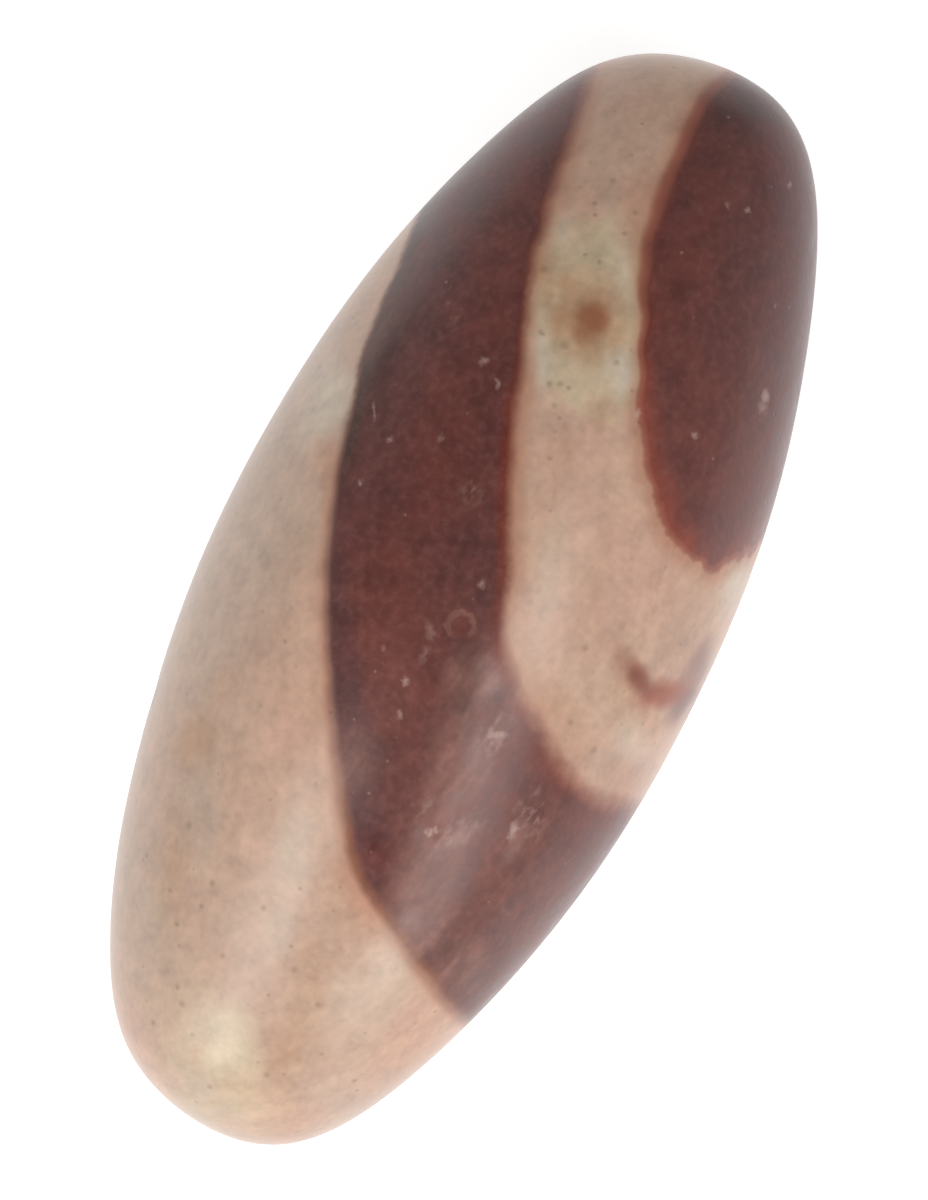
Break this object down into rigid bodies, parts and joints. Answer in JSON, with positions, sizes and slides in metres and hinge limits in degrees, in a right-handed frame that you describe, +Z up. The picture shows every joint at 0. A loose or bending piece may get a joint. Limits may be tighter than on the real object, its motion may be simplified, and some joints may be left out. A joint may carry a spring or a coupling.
{
  "type": "shiva lingam stone",
  "caption": "Long egg-ended banded river stone, ground smooth and satin polished, lying on its side on a small worn flat.",
  "frame": {"origin": "on the surface the stone lies on, under the middle of its bounding box", "axes": "+X along the stone, +Y across it, +Z up"},
  "size_m": [0.075, 0.0324, 0.0295],
  "materials": {
    "banded_stone": "satin polished, pinkish tan with broad maroon bands edged in rust red"
  },
  "bodies": {
    "root": {"stone": "banded_stone"}
  },
  "joints": []
}
